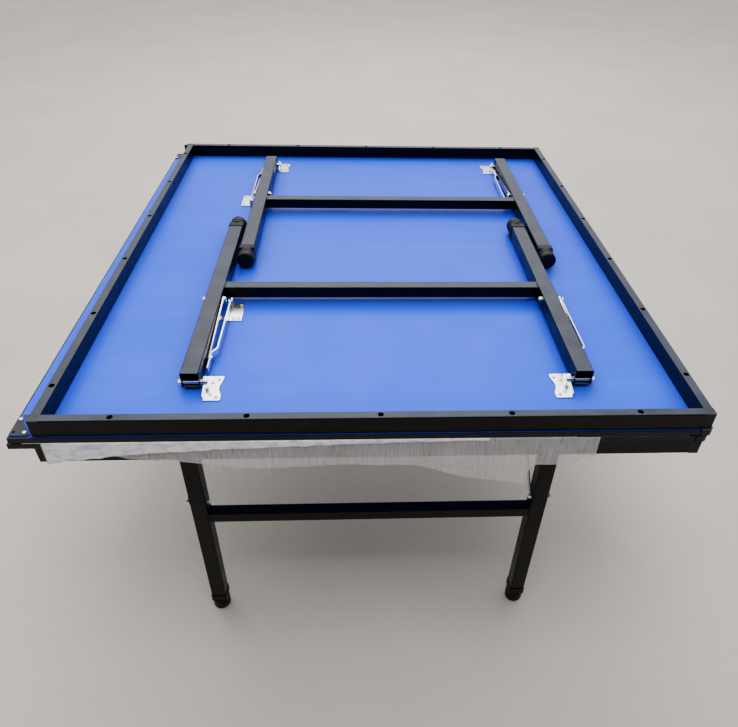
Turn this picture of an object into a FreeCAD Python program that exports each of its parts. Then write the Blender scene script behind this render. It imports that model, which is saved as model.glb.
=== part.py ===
import FreeCAD, Part
import math
import os
import re

import Sketcher

# Two halves of a folding games table, stacked playing face to playing face with a sheet of
# foam between them. The lower half stands on its unfolded legs and the upper half lies on it
# upside down with its legs folded into its frame. The half-turn about the net edge that opens
# the stack brings both playing faces level, end to end.
#
# World frame: +Z up, X from the net edge to the end edge, Y across the table, origin on the
# floor under the middle of the whole stack.
#
# Each half is drawn in a frame of its own: x from the net edge, y across, and z from the
# playing face through the board to the steel, so that its legs point along +z when unfolded.
# Each leg frame is drawn folded, about its pivot axis: x along the axis, y down the leg.

doc = FreeCAD.newDocument("folding_games_table")
Vector = FreeCAD.Vector
Rotation = FreeCAD.Rotation
Placement = FreeCAD.Placement
X_AXIS = Vector(1, 0, 0)
Y_AXIS = Vector(0, 1, 0)
Z_AXIS = Vector(0, 0, 1)
STILL = Rotation()

# ------------------------------------------------------------------ driving dimensions, mm
SIZES = [
    ("board_width", 1370, "one half from net edge to end edge, over its edge band"),
    ("board_depth", 1525, "one half across, over its edge band"),
    ("board_thick", 12, "board, playing face to underside"),
    ("play_height", 760, "floor to the lower playing face"),
    ("band_thick", 3, "plastic edge band round the board"),
    ("corner_round", 12, "radius of the two corners at the end edge"),
    ("stack_gap", 3, "space between the two playing faces"),
    ("stack_shift", 5, "lower half sits this much further out at the net edge"),
    ("net_gap", 1, "space between the net edges when the table is open"),
    ("rail_wide", 20, "frame rail, across"),
    ("rail_tall", 40, "frame rail, off the board"),
    ("rail_wall", 1.5, "frame rail wall"),
    ("rail_round", 2.5, "frame rail outer corner radius"),
    ("rail_inset", 4, "frame rail from the board's side and end edges"),
    ("net_inset", 46, "frame rail from the net edge"),
    ("side_rail_pitch", 255, "screws along the front and back rails"),
    ("net_rail_pitch", 261.5, "screws along the net rail"),
    ("end_rail_pitch", 253, "screws along the end rail"),
    ("access_bore", 12, "hole in a rail's outer wall that the driver passes through"),
    ("cap_lug", 13, "corner cap's gusset beyond the net rail"),
    ("cap_guard", 2, "corner cap's lip outside the edge band, and its flange"),
    ("cap_plug", 25, "corner cap's plug inside each rail"),
    ("slide_fit", 0.1, "clearance of a plug in a tube or a tube in a sleeve"),
    ("net_plate_long", 60, "net plate along the net edge"),
    ("net_plate_wide", 41, "net plate along the side edge"),
    ("net_plate_thick", 2.5, "net plate"),
    ("net_plate_inset", 1, "net plate from the net edge"),
    ("net_plate_side", 6, "net plate from the side edge"),
    ("net_plate_bore", 6, "hole at the net plate's square corner for a net clamp"),
    ("leg_tube", 38, "leg, square tube"),
    ("leg_wall", 1.5, "leg wall"),
    ("leg_round", 3, "leg outer corner radius"),
    ("leg_span", 862, "one leg frame over its two legs"),
    ("nest_gap", 10, "space between the two leg frames of a half, folded side by side"),
    ("upper_leg_centre", 730, "front leg frame's centre from the net edge, upper half"),
    ("lower_leg_centre", 652, "the same in the lower half"),
    ("pivot_inset", 147, "leg pivot from the board's side edge"),
    ("pivot_lift", 15, "leg pivot off the board's underside"),
    ("pivot_end", 8, "leg pivot from the open end of its tube"),
    ("leg_rise", 10, "middle of the folded leg further off the board than its pivot"),
    ("foot_reach", 44, "foot cap beyond the end of the tube"),
    ("foot_lip", 4, "foot cap's round end beyond the tube's faces"),
    ("foot_sleeve", 14, "foot cap's sleeve over the tube"),
    ("foot_skin", 2, "foot cap's sleeve wall"),
    ("bar_tube", 30, "crossbar, square tube"),
    ("bar_wall", 1.5, "crossbar wall"),
    ("bar_round", 2.5, "crossbar outer corner radius"),
    ("bar_ahead", 38, "brace bolt to the near face of the crossbar"),
    ("bar_drop", 2, "crossbar's outer face below the legs' outer face"),
    ("bolt_size", 8, "pivot and brace bolts"),
    ("bolt_fit", 0.08, "clearance round a bolt or pin, on the radius"),
    ("bolt_head", 14, "bolt head, diameter"),
    ("bolt_dome", 4.5, "bolt head, height"),
    ("nut_tall", 6.5, "nut height"),
    ("nut_corner", 7.5, "nut, centre to corner"),
    ("side_gap", 0.5, "space between flat pieces that turn on each other"),
    ("bracket_thick", 2.5, "pivot bracket sheet"),
    ("bracket_wide", 42, "pivot bracket's foot, off the leg"),
    ("bracket_gap", 8, "leg to the pivot bracket's ear, filled by a spacer"),
    ("bracket_near", 44, "pivot bracket from the pivot towards the side edge"),
    ("bracket_far", 34, "pivot bracket from the pivot down the leg"),
    ("bracket_waist", 5, "depth of the curve in the bracket's free edge"),
    ("ear_round", 13, "bracket ear's radius about the pivot"),
    ("strip_thick", 2.5, "brace strip"),
    ("strip_wide", 16, "brace strip, on edge"),
    ("strip_clear", 3, "leg to the brace strip beside it"),
    ("rivet_size", 10, "brace rivet head, diameter"),
    ("rivet_tall", 2, "brace rivet head, height"),
    ("brace_reach", 296, "leg pivot to the brace bolt, along the leg"),
    ("brace_rise", 16, "brace bolt further off the board than the leg pivot, folded"),
    ("anchor_ahead", 17, "brace bolt to the anchor pin, folded"),
    ("anchor_lift", 14, "anchor pin off the board's underside"),
    ("jog_step", 10, "sideways step of the board strip near the knee"),
    ("jog_start", 12, "knee to the near end of the step"),
    ("jog_long", 15, "length of the step along the strip"),
    ("tail_long", 45, "board strip's release tail beyond the knee"),
    ("anchor_wide", 30, "anchor's foot across the leg"),
    ("anchor_long", 78, "anchor's foot along the leg"),
    ("anchor_tab", 14, "anchor's tab under the brace"),
    ("pin_size", 6, "anchor pin"),
    ("screw_head", 8, "pan-head wood screw, head diameter"),
    ("screw_dome", 2.4, "screw head height"),
    ("screw_core", 4, "screw shank diameter"),
    ("screw_long", 11, "screw shank length"),
    ("foam_thick", 2.4, "foam sheet"),
    ("foam_near", 25, "foam sheet from the net edge"),
    ("foam_wide", 1310, "foam sheet along the side edge"),
    ("flap_near", 60, "foam sheet's hanging part from the net edge"),
    ("flap_wide", 1090, "foam sheet's hanging part along the side edge"),
    ("foam_long", 1490, "foam sheet across the table"),
    ("foam_drop", 66, "foam sheet hanging below the lower playing face"),
    ("soft_gap", 0.3, "foam sheet clear of the boards"),
]
SIDE_RAIL_SCREWS = 5
END_RAIL_SCREWS = 6

sheet = doc.addObject("Spreadsheet::Sheet", "Sizes")
for row, (alias, amount, meaning) in enumerate(SIZES, start=1):
    sheet.set(f"A{row}", meaning)
    sheet.set(f"B{row}", str(amount))
    sheet.setAlias(f"B{row}", alias)
doc.recompute()
ALIAS = re.compile(r"\b(" + "|".join(alias for alias, _, _ in SIZES) + r")\b")


# ------------------------------------------------------------------------ drawing helpers
def rule_of(text):
    """A rule in the sheet's own names, as FreeCAD wants it."""
    return ALIAS.sub(r"Sizes.\1", str(text))


def bind(thing, **rules):
    """Tie properties of a feature to rules in the sheet's names."""
    for name, rule in rules.items():
        thing.setExpression(name, rule_of(rule))


def put(thing, corner):
    """Tie the three coordinates of a feature's place to rules."""
    for axis, rule in zip("xyz", corner):
        thing.setExpression(f"Placement.Base.{axis}", rule_of(rule))


def block(name, extent, corner=(0, 0, 0)):
    """A box: its three sides and its lowest corner."""
    piece = doc.addObject("Part::Box", name)
    bind(piece, Length=extent[0], Width=extent[1], Height=extent[2])
    put(piece, corner)
    return piece


def rod(name, diameter, length, start, axis=Z_AXIS):
    """A cylinder from the middle of its first end, along an axis."""
    piece = doc.addObject("Part::Cylinder", name)
    bind(piece, Radius=f"({diameter}) / 2", Height=length)
    piece.Placement = Placement(Vector(), Rotation(Z_AXIS, axis))
    put(piece, start)
    return piece


def fuse(name, pieces):
    """Several overlapping or touching solids made one."""
    whole = doc.addObject("Part::MultiFuse", name)
    whole.Shapes = pieces
    whole.Refine = True
    return whole


def cut(name, base, tool):
    """One solid less another."""
    rest = doc.addObject("Part::Cut", name)
    rest.Base = base
    rest.Tool = tool
    return rest


def group(name, pieces):
    """Separate solids kept together."""
    whole = doc.addObject("Part::Compound", name)
    whole.Links = pieces
    return whole


def copy_at(name, piece, place):
    """A placed copy of a drawn piece."""
    twin = group(name, [piece])
    twin.Placement = place
    return twin


def mirrored(name, piece, normal):
    """The other hand of a piece."""
    twin = doc.addObject("Part::Mirroring", name)
    twin.Source = piece
    twin.Normal = normal
    return twin


def is_along(edge, axis):
    """Whether an edge is straight and parallel to an axis."""
    if edge.Curve.TypeId != "Part::GeomLine":
        return False
    return abs(edge.tangentAt(edge.FirstParameter).dot(axis)) > 0.999


def rounded(name, base, axis, radius, wanted=lambda middle: True):
    """Round the straight edges along one axis whose middles are wanted."""
    doc.recompute()
    piece = doc.addObject("Part::Fillet", name)
    piece.Base = base
    picked = []
    for number, edge in enumerate(base.Shape.Edges, start=1):
        if is_along(edge, axis) and wanted(edge.CenterOfMass):
            picked.append((number, radius, radius))
    piece.Edges = picked
    return piece


def domed(name, base, radius, axis, at):
    """Round the circular edge in the plane at a distance along an axis."""
    doc.recompute()
    piece = doc.addObject("Part::Fillet", name)
    piece.Base = base
    picked = []
    for number, edge in enumerate(base.Shape.Edges, start=1):
        flat = abs(edge.CenterOfMass.dot(axis) - at) < 1e-6
        if flat and edge.Curve.TypeId == "Part::GeomCircle":
            picked.append((number, radius, radius))
    piece.Edges = picked
    return piece


def tube(name, axis, length, wide, tall, wall, corner):
    """A rectangular steel tube from the origin along X or Y, open at both ends."""
    inner_wide = f"{wide} - 2 * {wall}"
    inner_tall = f"{tall} - 2 * {wall}"
    if axis == X_AXIS:
        outer = block(f"{name}_outer", (length, wide, tall))
        bore = block(f"{name}_bore", (length, inner_wide, inner_tall), (0, wall, wall))
    else:
        outer = block(f"{name}_outer", (wide, length, tall))
        bore = block(f"{name}_bore", (inner_wide, length, inner_tall), (wall, 0, wall))
    skin = rounded(f"{name}_skin", outer, axis, corner)
    inner_corner = corner - getattr(sheet, wall)
    hollow = rounded(f"{name}_hollow", bore, axis, inner_corner)
    return cut(name, skin, hollow)


def body_plane(body, role):
    """One of a body's own origin planes."""
    return next(plane for plane in body.Origin.OriginFeatures if plane.Role == role)


def outline(body, name, role, corners):
    """A closed sketch of straight sides; each corner is a pair of rules from the origin."""
    sketch = body.newObject("Sketcher::SketchObject", name)
    sketch.AttachmentSupport = [(body_plane(body, role), "")]
    sketch.MapMode = "FlatFace"
    count = len(corners)
    ring = [Vector(math.cos(2 * math.pi * i / count), math.sin(2 * math.pi * i / count), 0)
            for i in range(count)]
    for i in range(count):
        sketch.addGeometry(Part.LineSegment(ring[i], ring[(i + 1) % count]), False)
    for i in range(count):
        sketch.addConstraint(Sketcher.Constraint("Coincident", i, 2, (i + 1) % count, 1))
    for i, pair in enumerate(corners):
        for kind, start, rule in zip(("DistanceX", "DistanceY"), ring[i], pair):
            number = sketch.addConstraint(Sketcher.Constraint(kind, -1, 1, i, 1, start))
            sketch.setExpression(f"Constraints[{number}]", rule_of(rule))
    return sketch


def padded(body, name, sketch, length):
    """Thickness added to a body's sketch."""
    pad = body.newObject("PartDesign::Pad", name)
    pad.Profile = sketch
    bind(pad, Length=length)
    return pad


def round_holes(body, name, base, role, holes):
    """Circular pockets through a body: each hole is x, y and diameter as rules."""
    sketch = body.newObject("Sketcher::SketchObject", f"{name}_circles")
    sketch.AttachmentSupport = [(body_plane(body, role), "")]
    sketch.MapMode = "FlatFace"
    for number, (across, along, diameter) in enumerate(holes):
        sketch.addGeometry(Part.Circle(Vector(10 * number, 10, 0), Z_AXIS, 1), False)
        for kind, rule in (("DistanceX", across), ("DistanceY", along)):
            tie = sketch.addConstraint(Sketcher.Constraint(kind, -1, 1, number, 3, 1.0))
            sketch.setExpression(f"Constraints[{tie}]", rule_of(rule))
        tie = sketch.addConstraint(Sketcher.Constraint("Diameter", number, 2.0))
        sketch.setExpression(f"Constraints[{tie}]", rule_of(diameter))
    doc.recompute()
    solid_before = base.Shape.Volume
    pocket = body.newObject("PartDesign::Pocket", name)
    pocket.Profile = sketch
    pocket.Type = "ThroughAll"
    pocket.Midplane = True
    doc.recompute()
    if pocket.Shape.Volume >= solid_before:
        raise RuntimeError(f"{name} cut nothing")
    return pocket


# ------------------------------------------------------------------------- common measures
board_back = sheet.board_thick
pivot_level = sheet.board_thick + sheet.pivot_lift
rail_top = sheet.board_thick + sheet.rail_tall
leg_drop = sheet.play_height - pivot_level
half_leg = sheet.leg_tube / 2
leg_offset = sheet.leg_span / 2 - half_leg
anchor_reach = sheet.brace_reach + sheet.anchor_ahead
bar_reach = sheet.brace_reach + sheet.bar_ahead
LEG_DROP = "(play_height - board_thick - pivot_lift)"
TUBE_END = f"({LEG_DROP} - foot_reach)"
FOOT_ROUND = "(leg_tube + 2 * foot_lip)"
ANCHOR_REACH = "(brace_reach + anchor_ahead)"

frame_near = sheet.net_inset
frame_far = sheet.board_width - sheet.rail_inset
frame_middle = (frame_near + frame_far) / 2

SIDE_RAIL_LONG = "(board_width - rail_inset - net_inset - 2 * rail_wide)"
END_RAIL_LONG = "(board_depth - 2 * rail_inset - 2 * rail_wide)"


# ------------------------------------------------------------------------------- wood screw
def wood_screw():
    """Pan-head screw; the underside of its head is at z = 0 and its shank points to -z."""
    head_blank = rod("screw_head_blank", "screw_head", "screw_dome", (0, 0, 0))
    head = domed("screw_head_dome", head_blank, 1.5, Z_AXIS, sheet.screw_dome)
    shank = rod("screw_shank", "screw_core", "screw_long", (0, 0, "-screw_long"))
    whole = fuse("screw_whole", [head, shank])
    slots = []
    for turn, across in (("a", X_AXIS), ("b", Y_AXIS)):
        long_x = "4.6" if across == X_AXIS else "1"
        long_y = "1" if across == X_AXIS else "4.6"
        corner = (f"-{long_x} / 2", f"-{long_y} / 2", "screw_dome - 1.4")
        slots.append(block(f"screw_slot_{turn}", (long_x, long_y, 2), corner))
    cross = fuse("screw_cross", slots)
    return cut("screw_drawn", whole, cross)


SCREW = wood_screw()
PILOT = rod("pilot_drawn", "screw_core", "screw_long + 1", (0, 0, "-screw_long"))


# ----------------------------------------------------------------------- board and edge band
def slab(name, inset, height, corner, level=0):
    """The board's outline drawn in by an inset, with its end corners rounded."""
    extent = (f"board_width - 2 * {inset}", f"board_depth - 2 * {inset}", height)
    blank = block(f"{name}_blank", extent, (inset, inset, level))
    middle = sheet.board_width / 2
    return rounded(name, blank, Z_AXIS, corner, lambda place: place.x > middle)


def edge_band(half):
    """Black plastic strip that wraps the board's edge all round."""
    outer = slab(f"{half}_band_outer", "0", "board_thick", sheet.corner_round)
    inner_round = sheet.corner_round - sheet.band_thick
    inner = slab(f"{half}_band_inner", "band_thick", "board_thick", inner_round)
    return cut(f"{half}_band_drawn", outer, inner)


def board(half, screws, net_bores):
    """Panel inside the edge band, drilled for every screw and for the net clamps."""
    inner_round = sheet.corner_round - sheet.band_thick
    blank = slab(f"{half}_panel", "band_thick", "board_thick", inner_round)
    pilots = [copy_at(f"{half}_pilot_{i}", PILOT, place) for i, place in enumerate(screws)]
    drill = group(f"{half}_drill", pilots + net_bores)
    return cut(f"{half}_board_drawn", blank, drill)


# -------------------------------------------------------------------------------- frame rails
def spread(pitch, count, middle):
    """Evenly spaced stations about a middle."""
    return [middle + pitch * (i - (count - 1) / 2) for i in range(count)]


side_stations = spread(sheet.side_rail_pitch, SIDE_RAIL_SCREWS, frame_middle)
net_stations = spread(sheet.net_rail_pitch, END_RAIL_SCREWS, sheet.board_depth / 2)
end_stations = spread(sheet.end_rail_pitch, END_RAIL_SCREWS, sheet.board_depth / 2)
half_rail = sheet.rail_wide / 2
RAIL_LINES = {
    "front": [(x, sheet.rail_inset + half_rail) for x in side_stations],
    "back": [(x, sheet.board_depth - sheet.rail_inset - half_rail) for x in side_stations],
    "net": [(frame_near + half_rail, y) for y in net_stations],
    "end": [(frame_far - half_rail, y) for y in end_stations],
}


def rail(half, side):
    """One frame tube with its screw holes and, opposite them, its driver holes."""
    name = f"{half}_{side}_rail"
    if side in ("front", "back"):
        blank = tube(f"{name}_tube", X_AXIS, SIDE_RAIL_LONG, "rail_wide", "rail_tall",
                     "rail_wall", sheet.rail_round)
        start_x = frame_near + sheet.rail_wide
        start_y = sheet.rail_inset
        if side == "back":
            start_y = sheet.board_depth - sheet.rail_inset - sheet.rail_wide
    else:
        blank = tube(f"{name}_tube", Y_AXIS, END_RAIL_LONG, "rail_wide", "rail_tall",
                     "rail_wall", sheet.rail_round)
        start_x = frame_near if side == "net" else frame_far - sheet.rail_wide
        start_y = sheet.rail_inset + sheet.rail_wide
    seat = Placement(Vector(start_x, start_y, board_back), STILL)
    laid = copy_at(f"{name}_laid", blank, seat)
    drills = []
    for i, (x, y) in enumerate(RAIL_LINES[side]):
        wide = rod(f"{name}_wide_{i}", "access_bore", "rail_tall", (x, y, "board_thick + 10"))
        slim = rod(f"{name}_slim_{i}", "screw_core + 0.5", 20, (x, y, "board_thick - 5"))
        drills += [wide, slim]
    return cut(f"{name}_drawn", laid, group(f"{name}_drills", drills))


# -------------------------------------------------------------------------------- corner caps
def cap_post(name):
    """The square post of a corner cap with a plug into each of its two rails."""
    post = block(f"{name}_post", ("rail_wide", "rail_wide", "rail_tall"))
    soft = rounded(f"{name}_post_soft", post, Z_AXIS, 1.5,
                   lambda place: place.x < 1 and place.y < 1)
    slack = "(rail_wall + slide_fit)"
    slim = f"rail_wide - 2 * {slack}"
    tall = f"rail_tall - 2 * {slack}"
    plugs = [block(f"{name}_plug_x", ("cap_plug", slim, tall), ("rail_wide", slack, slack)),
             block(f"{name}_plug_y", (slim, "cap_plug", tall), (slack, "rail_wide", slack))]
    inner_corner = sheet.rail_round - sheet.rail_wall
    return [soft] + [rounded(f"{plug.Name}_soft", plug, axis, inner_corner)
                     for plug, axis in zip(plugs, (X_AXIS, Y_AXIS))]


def net_cap():
    """Corner cap at the net edge, with its slanted gusset; outer corner at the origin."""
    pieces = cap_post("net_cap")
    body = doc.addObject("PartDesign::Body", "net_cap_gusset")
    sketch = outline(body, "net_cap_gusset_outline", "XY_Plane",
                     [("0", "1.5"), ("0", "rail_wide - 1"), ("-cap_lug", "rail_wide - 1")])
    padded(body, "net_cap_gusset_pad", sketch, "rail_tall")
    return fuse("net_cap_drawn", pieces + [body])


def end_cap():
    """Corner cap at the end edge; its lip wraps the board's rounded corner."""
    pieces = cap_post("end_cap")
    reach = "rail_inset + rail_wide + cap_guard"
    drop = "board_thick + cap_guard"
    low = ("-rail_inset - cap_guard", "-rail_inset - cap_guard", "-board_thick")
    blank = block("end_cap_guard_blank", (reach, reach, drop), low)
    outer = rounded("end_cap_guard", blank, Z_AXIS, sheet.corner_round + sheet.cap_guard,
                    lambda place: place.x < 0 and place.y < 0)
    bite_low = ("-rail_inset", "-rail_inset", "-board_thick - 1")
    bite_blank = block("end_cap_bite_blank", (reach, reach, "board_thick + 1"), bite_low)
    bite = rounded("end_cap_bite", bite_blank, Z_AXIS, sheet.corner_round,
                   lambda place: place.x < 0 and place.y < 0)
    lip = cut("end_cap_lip", outer, bite)
    return fuse("end_cap_drawn", pieces + [lip])


NET_CAP = net_cap()
END_CAP = end_cap()
NET_CAP_TWIN = mirrored("net_cap_twin", NET_CAP, Y_AXIS)
END_CAP_TWIN = mirrored("end_cap_twin", END_CAP, Y_AXIS)


def corner_caps(half):
    """The four caps of one half."""
    near_y = sheet.rail_inset
    far_y = sheet.board_depth - sheet.rail_inset
    seats = [
        ("net_near", NET_CAP, Vector(frame_near, near_y, board_back), 0),
        ("net_far", NET_CAP_TWIN, Vector(frame_near, far_y, board_back), 0),
        ("end_near", END_CAP_TWIN, Vector(frame_far, near_y, board_back), 180),
        ("end_far", END_CAP, Vector(frame_far, far_y, board_back), 180),
    ]
    caps = []
    for corner, drawn, place, turn in seats:
        seat = Placement(place, Rotation(Z_AXIS, turn))
        caps.append(copy_at(f"{half}_cap_{corner}", drawn, seat))
    return group(f"{half}_caps_drawn", caps)


# --------------------------------------------------------------------------------- net plates
def net_plate():
    """Triangular steel plate; its square corner is at the origin."""
    body = doc.addObject("PartDesign::Body", "net_plate_body")
    sketch = outline(body, "net_plate_outline", "XY_Plane",
                     [("0", "0"), ("net_plate_wide", "0"), ("0", "net_plate_long")])
    pad = padded(body, "net_plate_pad", sketch, "net_plate_thick")
    doc.recompute()
    soft = body.newObject("PartDesign::Fillet", "net_plate_soft")
    upright = [f"Edge{i}" for i, edge in enumerate(pad.Shape.Edges, start=1)
               if is_along(edge, Z_AXIS)]
    soft.Base = (pad, upright)
    soft.Radius = 4
    round_holes(body, "net_plate_holes", soft, "XY_Plane", [
        ("7", "10", "net_plate_bore"),
        ("7", "net_plate_long - 15", "screw_core + 0.5"),
        ("net_plate_wide - 13", "7.5", "screw_core + 0.5"),
    ])
    return body


NET_PLATE = net_plate()
NET_PLATE_TWIN = mirrored("net_plate_twin", NET_PLATE, Y_AXIS)
PLATE_SCREWS = [(7, sheet.net_plate_long - 15), (sheet.net_plate_wide - 13, 7.5)]
PLATE_BORE = (7, 10)
plate_x = sheet.net_plate_inset
plate_near = sheet.net_plate_side
plate_far = sheet.board_depth - sheet.net_plate_side
plate_face = board_back + sheet.net_plate_thick


def net_plates(half):
    """The two plates that a net clamp or a joining bolt is fixed to."""
    near = Placement(Vector(plate_x, plate_near, board_back), STILL)
    far = Placement(Vector(plate_x, plate_far, board_back), STILL)
    pair = [copy_at(f"{half}_net_plate_near", NET_PLATE, near),
            copy_at(f"{half}_net_plate_far", NET_PLATE_TWIN, far)]
    return group(f"{half}_net_plates_drawn", pair)


# ------------------------------------------------------------------------------ leg hardware
# Drawn in a leg frame's own axes, for the leg on the -x side, whose inner face is at x = 0.
def pivot_bracket():
    """Bent sheet: a foot screwed to the board and an ear that carries the pivot bolt."""
    body = doc.addObject("PartDesign::Body", "bracket_foot")
    near = "-bracket_near"
    corners = [
        ("bracket_gap", near),
        ("bracket_wide + 2", near),
        ("bracket_wide + 2", f"{near} + 16"),
        ("bracket_wide - bracket_waist", f"{near} + 34"),
        ("bracket_wide - bracket_waist", "bracket_far - 32"),
        ("bracket_wide", "bracket_far - 10"),
        ("bracket_wide", "bracket_far"),
        ("bracket_gap", "bracket_far"),
    ]
    sketch = outline(body, "bracket_outline", "XY_Plane", corners)
    pad = padded(body, "bracket_pad", sketch, "bracket_thick")
    doc.recompute()
    soft = body.newObject("PartDesign::Fillet", "bracket_soft")
    free = [f"Edge{i}" for i, edge in enumerate(pad.Shape.Edges, start=1)
            if is_along(edge, Z_AXIS) and edge.CenterOfMass.x > sheet.bracket_gap + 1]
    soft.Base = (pad, free)
    soft.Radius = 3
    round_holes(body, "bracket_holes", soft, "XY_Plane",
                [(str(x), str(y), "screw_core + 0.5") for x, y in BRACKET_SCREWS])
    body.Placement = Placement(Vector(0, 0, -sheet.pivot_lift), STILL)

    flange = doc.addObject("PartDesign::Body", "bracket_ear")
    flange_outline = outline(flange, "bracket_ear_outline", "YZ_Plane", [
        ("-bracket_near + 4", "-pivot_lift"),
        ("bracket_far - 4", "-pivot_lift"),
        ("bracket_far - 4", "-pivot_lift + 8"),
        ("ear_round - 1", "2"),
        ("1 - ear_round", "2"),
        ("-bracket_near + 4", "-pivot_lift + 10"),
    ])
    padded(flange, "bracket_ear_pad", flange_outline, "bracket_thick")
    flange.Placement = Placement(Vector(sheet.bracket_gap, 0, 0), STILL)
    ear_top = rod("bracket_ear_top", "2 * ear_round", "bracket_thick",
                  ("bracket_gap", 0, 0), X_AXIS)
    whole = fuse("bracket_whole", [body, flange, ear_top])
    bore = rod("bracket_bore", "bolt_size + 2 * bolt_fit", "bracket_thick + 4",
               ("bracket_gap - 2", 0, 0), X_AXIS)
    return cut("bracket_drawn", whole, bore)


BRACKET_SCREWS = [
    (34, sheet.bracket_far - 11),
    (22, sheet.bracket_far - 21),
    (35, -sheet.bracket_near + 10),
    (22, -sheet.bracket_near + 19),
]
PIVOT_BRACKET = pivot_bracket()
PIVOT_BRACKET_TWIN = mirrored("bracket_twin", PIVOT_BRACKET, X_AXIS)

# The brace lies beside its leg in layers, all measured from the leg's face.
strip_layer = sheet.strip_clear
knee_layer = strip_layer + sheet.strip_thick + sheet.side_gap
jogged_layer = knee_layer + sheet.jog_step
ear_layer = jogged_layer + sheet.strip_thick + sheet.side_gap
KNEE_LAYER = "(strip_clear + strip_thick + side_gap)"
JOGGED_LAYER = f"({KNEE_LAYER} + jog_step)"
EAR_LAYER = f"({JOGGED_LAYER} + strip_thick + side_gap)"


def brace_geometry():
    """Strip lengths and turns from the two pivots.

    Unfolded, the strips lie end to end; folded, the board strip lies level with the board.
    """
    bolt_folded = Vector(0, sheet.brace_reach, sheet.brace_rise)
    bolt_open = Vector(0, -sheet.brace_rise, sheet.brace_reach)
    anchor = Vector(0, anchor_reach, sheet.anchor_lift - sheet.pivot_lift)
    rise = bolt_folded.z - anchor.z
    both = (bolt_open - anchor).Length - sheet.anchor_ahead
    level = (both ** 2 - rise ** 2) / (2 * both)
    leg_strip = both - level
    board_strip = level + sheet.anchor_ahead
    knee_folded = anchor - Vector(0, board_strip, 0)

    def heading(start, end):
        step = end - start
        return math.degrees(math.atan2(step.z, step.y)) % 360

    leg_turn_folded = heading(bolt_folded, knee_folded)
    leg_turn_open = heading(bolt_open, anchor) - 90
    board_turn_folded = heading(anchor, knee_folded)
    board_turn_open = heading(anchor, bolt_open)
    return (leg_strip, board_strip, leg_turn_folded, leg_turn_open,
            board_turn_folded, board_turn_open)


(leg_strip_long, board_strip_long, leg_turn_folded, leg_turn_open,
 board_turn_folded, board_turn_open) = brace_geometry()


def brace_anchor(name, foot_start, screws):
    """Zinc foot screwed to the board, with an ear and a pin for the board strip."""
    near = f"({ANCHOR_REACH} + 12 - anchor_long)"
    foot = block(f"{name}_foot", ("anchor_wide", "anchor_long", "bracket_thick"),
                 (foot_start, near, "-pivot_lift"))
    tab = block(f"{name}_tab", (f"{EAR_LAYER} - 2", "anchor_tab", "bracket_thick"),
                (2, f"{near} + 5", "-pivot_lift"))
    level = "anchor_lift - pivot_lift"
    ear_web = block(f"{name}_ear_web", ("bracket_thick", 22, "anchor_lift"),
                    (EAR_LAYER, f"{ANCHOR_REACH} - 11", "-pivot_lift"))
    ear_top = rod(f"{name}_ear_top", 22, "bracket_thick", (EAR_LAYER, ANCHOR_REACH, level),
                  X_AXIS)
    pin_long = "strip_thick + 2 * side_gap + bracket_thick"
    pin_start = f"{JOGGED_LAYER} - side_gap"
    pin = rod(f"{name}_pin", "pin_size", pin_long, (pin_start, ANCHOR_REACH, level), X_AXIS)
    head = rod(f"{name}_pin_head", 11, 4, (f"{pin_start} - 4", ANCHOR_REACH, level), X_AXIS)
    whole = fuse(f"{name}_whole", [foot, tab, ear_web, ear_top, pin, head])
    drills = [rod(f"{name}_hole_{i}", "screw_core + 0.5", 10, (x, y, "-pivot_lift - 2"))
              for i, (x, y) in enumerate(screws)]
    return cut(f"{name}_drawn", whole, group(f"{name}_drills", drills))


anchor_near = anchor_reach + 12 - sheet.anchor_long
foot_end = ear_layer + sheet.anchor_wide
OUTWARD_SCREWS = [
    (foot_end - 8, anchor_near + 9),
    (foot_end - 8, anchor_near + sheet.anchor_long - 9),
    (ear_layer + 10, anchor_near + 9),
    (8, anchor_near + 5 + sheet.anchor_tab / 2),
]
# The front right brace has its foot on the side towards the leg.
inward_start = ear_layer + sheet.bracket_thick - sheet.anchor_wide
INWARD_SCREWS = [
    (inward_start + 7, anchor_near + 9),
    (inward_start + 7, anchor_near + sheet.anchor_long - 9),
    (inward_start + 20, anchor_near + 9),
    (inward_start + 20, anchor_near + sheet.anchor_long - 9),
]
OUTWARD_ANCHOR = brace_anchor("outward_anchor", EAR_LAYER, OUTWARD_SCREWS)
INWARD_ANCHOR = brace_anchor("inward_anchor", f"{EAR_LAYER} + bracket_thick - anchor_wide",
                             INWARD_SCREWS)


def leg_strip():
    """Flat strip from the brace bolt, at the origin, to the knee."""
    blank = block("leg_strip_blank",
                  ("strip_thick", leg_strip_long + sheet.strip_wide, "strip_wide"),
                  ("strip_clear", "-strip_wide / 2", "-strip_wide / 2"))
    soft = rounded("leg_strip_soft", blank, X_AXIS, sheet.strip_wide / 2 - 0.2)
    rivet = rod("leg_strip_rivet", "rivet_size", "rivet_tall",
                ("strip_clear - rivet_tall", leg_strip_long, 0), X_AXIS)
    whole = fuse("leg_strip_whole", [soft, rivet])
    bore = rod("leg_strip_bore", "bolt_size + 2 * bolt_fit", 10, (0, 0, 0), X_AXIS)
    return cut("leg_strip_drawn", whole, bore)


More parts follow.
